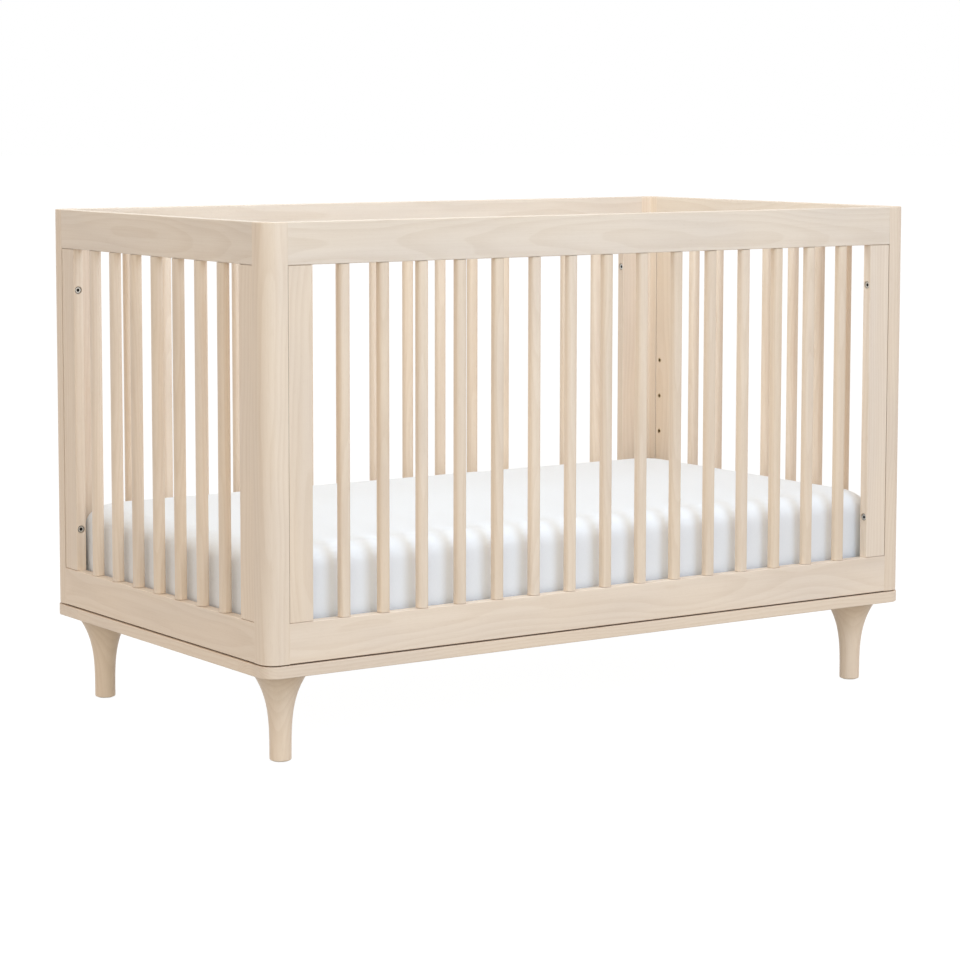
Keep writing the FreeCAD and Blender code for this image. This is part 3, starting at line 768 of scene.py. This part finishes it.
def mattress_cover(material):
    """The mattress in its ticking, with a quilted panel above and below."""
    low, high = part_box("mattress")
    half_x, half_y = high.x - COVER_INSET, high.y - COVER_INSET
    bottom, top = low.z + COVER_LIFT, high.z - COVER_DROP

    def face_ring(inset, level):
        roundness = squared(inset, COVER_EDGE, COVER_SQUARING)
        return half_x - inset, half_y - inset, level, roundness

    rings = [face_ring(inset, bottom) for inset in reversed(COVER_TOP_INSETS)]
    for inset, height in reversed(edge_arc(COVER_EDGE, 6)):
        rings.append((half_x - inset, half_y - inset, bottom + height, 1.0))
    for height in np.linspace(bottom + COVER_EDGE, top - COVER_EDGE, 7)[1:-1]:
        rings.append((half_x, half_y, height, 1.0))
    for inset, height in edge_arc(COVER_EDGE, 6):
        rings.append((half_x - inset, half_y - inset, top - height, 1.0))
    rings += [face_ring(inset, top) for inset in COVER_TOP_INSETS]
    piece = lofted("mattress_ticking_cover", rings, [0, -1], material)
    subdivide(piece, 2)

    def quilted(place, normal):
        across = abs(math.sin(math.pi * (place.x + place.y) / QUILT_PITCH))
        along = abs(math.sin(math.pi * (place.x - place.y) / QUILT_PITCH))
        puff = (across * along) ** 0.35
        return normal * (-QUILT_DEPTH * (1 - puff) * abs(normal.z) ** 4)

    reshape(piece, quilted)
    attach(piece, "mattress")
    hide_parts("mattress")


# ---------------------------------------------------------------- the studio

def camera():
    """Near eye height, to the left of the front, as a long lens sees the crib."""
    data = bpy.data.cameras.new("camera")
    data.sensor_width = CAMERA_SENSOR
    data.lens = CAMERA_LENS
    data.shift_x, data.shift_y = CAMERA_SHIFT
    data.clip_end = CAMERA_REACH
    view = bpy.data.objects.new("camera", data)
    view.location = CAMERA_PLACE
    view.rotation_euler = (QUARTER_TURN - CAMERA_TILT, 0.0, -CAMERA_YAW)
    bpy.context.scene.collection.objects.link(view)
    bpy.context.scene.camera = view


def soft_box(name, place, aim, size, radiance, colour):
    """A square soft box of an even radiance, which lights the crib but isn't itself seen."""
    data = bpy.data.lights.new(name, "AREA")
    data.shape = "SQUARE"
    data.size = size
    data.energy = radiance * math.pi * size ** 2
    data.color = colour
    lamp = bpy.data.objects.new(name, data)
    lamp.location = place
    lamp.rotation_euler = (Vector(aim) - Vector(place)).to_track_quat("-Z", "Y").to_euler()
    lamp.visible_camera = False
    bpy.context.scene.collection.objects.link(lamp)


def surround():
    """White all round, a softer, warmer ceiling, and little light from below."""
    world = bpy.data.worlds.new("studio")
    world.use_nodes = True
    tree = world.node_tree
    place = tree.nodes.new("ShaderNodeTexCoord")
    height = tree.nodes.new("ShaderNodeSeparateXYZ")
    tree.links.new(place.outputs["Generated"], height.inputs[0])

    def blend(heights, above):
        """Turns into the colour above over a span of heights; gives back both of its ends."""
        ramp = tree.nodes.new("ShaderNodeMapRange")
        for key, value in zip(("From Min", "From Max"), heights):
            ramp.inputs[key].default_value = value
        mixed = tree.nodes.new("ShaderNodeMix")
        mixed.data_type = "RGBA"
        below, over = [socket for socket in mixed.inputs if socket.type == "RGBA"]
        over.default_value = above
        tree.links.new(height.outputs["Z"], ramp.inputs["Value"])
        tree.links.new(ramp.outputs[0], mixed.inputs[0])
        return below, [socket for socket in mixed.outputs if socket.type == "RGBA"][0]

    lowest, lower_colour = blend(LOWER_BLEND, HORIZON)
    lowest.default_value = NADIR
    middling, colour = blend(UPPER_BLEND, ZENITH)
    tree.links.new(lower_colour, middling)
    tree.links.new(colour, tree.nodes["Background"].inputs["Color"])
    bpy.context.scene.world = world


def floor():
    """A plain white floor; the surround, and not the floor, lights the crib from below."""
    disc = bmesh.new()
    bmesh.ops.create_circle(disc, cap_ends=True, segments=96, radius=FLOOR_RADIUS)
    data = bpy.data.meshes.new("floor")
    disc.to_mesh(data)
    disc.free()
    piece = bpy.data.objects.new("floor", data)
    piece.location.z = -FLOOR_DROP
    piece.visible_diffuse = False
    bpy.context.scene.collection.objects.link(piece)
    shade = Shade("floor_paper")
    shade.set(Base_Color=shade.mix(shade.noise(shade.point, scale=2.0), *FLOOR_PAPER),
              Roughness=0.9, Specular_IOR_Level=0.0,
              Emission_Color=FLOOR_GLOW, Emission_Strength=1.0)
    data.materials.append(shade.material)


# ---------------------------------------------------------------- the whole scene

wood_everything()
wire_zinc = metal("wire_zinc", ZINC, 0.33, DRAWN_MARKS)
hardware(wire_zinc)
springs(wire_zinc)
sheet = fitted_sheet(cotton("sheet_percale", COTTON))
mattress_cover(ticking("mattress_ticking"))
camera()
bpy.context.scene.view_settings.view_transform = "Standard"
surround()
floor()
for settings in SOFT_BOXES:
    soft_box(*settings)
